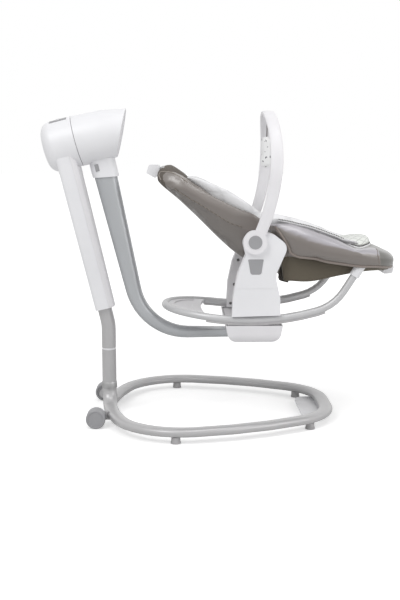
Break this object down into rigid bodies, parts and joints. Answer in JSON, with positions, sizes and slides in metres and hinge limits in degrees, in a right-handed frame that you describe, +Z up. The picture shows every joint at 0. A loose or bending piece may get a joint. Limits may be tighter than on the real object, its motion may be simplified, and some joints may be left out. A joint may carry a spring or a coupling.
{
  "type": "baby swing",
  "caption": "Baby swing: tubular floor loop and stem, powered head with a hanging arm, docked rocker seat with reclining back, toy bar and hanging toy.",
  "frame": {"origin": "centre of the whole part's box, on the floor under the feet", "axes": "+X from the stem towards the baby's feet, +Y towards the baby's left, +Z up"},
  "size_m": [0.9261, 0.6074, 0.8166],
  "materials": {
    "frame_grey": "satin powder coat",
    "rail_grey": "satin powder coat",
    "inner_steel": "plain drawn steel",
    "screw_steel": "plated",
    "cast_alloy": "as cast",
    "white_plastic": "satin gloss moulding",
    "pale_plastic": "fine matt moulding",
    "grey_plastic": "fine matt moulding",
    "pad_rubber": "matt",
    "coil_copper": "enamelled copper wire",
    "board_green": "glass-fibre board",
    "inlet_black": "matt",
    "seat_fabric": "coated woven cloth",
    "ribbon_fabric": "woven tape",
    "toy_fabric": "short plush"
  },
  "bodies": {
    "stand": {"base_loop": "frame_grey", "stem_yoke": "frame_grey", "stem_socket": "inner_steel", "stem_lower": "frame_grey", "stem_ring": "white_plastic", "stem_upper": "frame_grey", "floor_feet": "pad_rubber", "base_plate": "pale_plastic", "wheel_brackets": "frame_grey", "wheel_axles": "inner_steel", "stem_cover_rear": "white_plastic", "stem_cover_front": "pale_plastic", "head_back_shell": "white_plastic", "pivot_housing": "cast_alloy", "shaft_bearings": "inner_steel", "drive_coil": "coil_copper", "circuit_board": "board_green", "control_panel": "grey_plastic", "power_inlet": "inlet_black"},
    "wheel_left": {"wheel_left": "grey_plastic"},
    "wheel_right": {"wheel_right": "grey_plastic"},
    "speed_button": {"speed_button": "pale_plastic"},
    "timer_button": {"timer_button": "pale_plastic"},
    "melody_button": {"melody_button": "pale_plastic"},
    "swing": {"pivot_shaft": "inner_steel", "drive_magnet": "screw_steel", "head_front_shell": "white_plastic", "head_front_cap": "pale_plastic", "arm_hanger": "cast_alloy", "arm_collar": "white_plastic", "swing_arm": "frame_grey", "dock_bowl": "pale_plastic", "dock_plate": "pale_plastic"},
    "arm_release_button": {"arm_release_button": "grey_plastic"},
    "rocker": {"rocker_rail": "rail_grey", "rail_pads": "pad_rubber", "rear_plate": "pale_plastic", "rail_sockets": "white_plastic", "column_outer_left": "white_plastic", "column_outer_right": "white_plastic", "column_inner_left": "pale_plastic", "column_inner_right": "pale_plastic", "column_screws": "screw_steel", "seat_cross_bar": "inner_steel", "seat_front_frame": "inner_steel", "foot_clip": "white_plastic", "seat_front_cover": "seat_fabric", "toy_bar_pins": "inner_steel"},
    "recline_button_left": {"recline_button_left": "grey_plastic"},
    "recline_button_right": {"recline_button_right": "grey_plastic"},
    "backrest": {"backrest_frame": "inner_steel", "backrest_cover": "seat_fabric", "head_clip": "white_plastic"},
    "toy_bar": {"toy_bar": "pale_plastic", "toy_bar_caps": "grey_plastic"},
    "toy": {"toy_ribbon": "ribbon_fabric", "hanging_toy": "toy_fabric"}
  },
  "joints": [
    {"name": "wheel_left_spin", "type": "hinge", "parent": "stand", "child": "wheel_left", "pos_m": [-0.325, 0.144, 0.025], "axis": [0, 1, 0], "continuous": true},
    {"name": "wheel_right_spin", "type": "hinge", "parent": "stand", "child": "wheel_right", "pos_m": [-0.325, -0.144, 0.025], "axis": [0, 1, 0], "continuous": true},
    {"name": "speed_button_press", "type": "slide", "parent": "stand", "child": "speed_button", "axis": [0.2504, 0, -0.9681], "range_m": [0, 0.001], "stiffness_N_per_m": 1500},
    {"name": "timer_button_press", "type": "slide", "parent": "stand", "child": "timer_button", "axis": [0.2504, 0, -0.9681], "range_m": [0, 0.001], "stiffness_N_per_m": 1500},
    {"name": "melody_button_press", "type": "slide", "parent": "stand", "child": "melody_button", "axis": [0.2504, 0, -0.9681], "range_m": [0, 0.001], "stiffness_N_per_m": 1500},
    {"name": "swing_sway", "type": "hinge", "parent": "stand", "child": "swing", "pos_m": [-0.375, 0, 0.733], "axis": [0.9681, 0, 0.2504], "range_deg": [-18, 18]},
    {"name": "arm_release_press", "type": "slide", "parent": "swing", "child": "arm_release_button", "axis": [0, 1, 0], "range_m": [0, 0.003], "stiffness_N_per_m": 800},
    {"name": "rocker_lift", "type": "slide", "parent": "swing", "child": "rocker", "axis": [0, 0, 1], "range_m": [0, 0.12]},
    {"name": "recline_left_press", "type": "slide", "parent": "rocker", "child": "recline_button_left", "axis": [0, -1, 0], "range_m": [0, 0.003], "stiffness_N_per_m": 800},
    {"name": "recline_right_press", "type": "slide", "parent": "rocker", "child": "recline_button_right", "axis": [0, 1, 0], "range_m": [0, 0.003], "stiffness_N_per_m": 800},
    {"name": "backrest_tilt", "type": "hinge", "parent": "rocker", "child": "backrest", "pos_m": [0.078, 0, 0.448], "axis": [0, 1, 0], "range_deg": [0, 10]},
    {"name": "toy_bar_tilt", "type": "hinge", "parent": "rocker", "child": "toy_bar", "pos_m": [0.081, 0, 0.482], "axis": [0, 1, 0], "range_deg": [-50, 60]},
    {"name": "toy_dangle", "type": "hinge", "parent": "toy_bar", "child": "toy", "pos_m": [0.122, 0, 0.7972], "axis": [0, 1, 0], "range_deg": [-40, 40]}
  ]
}
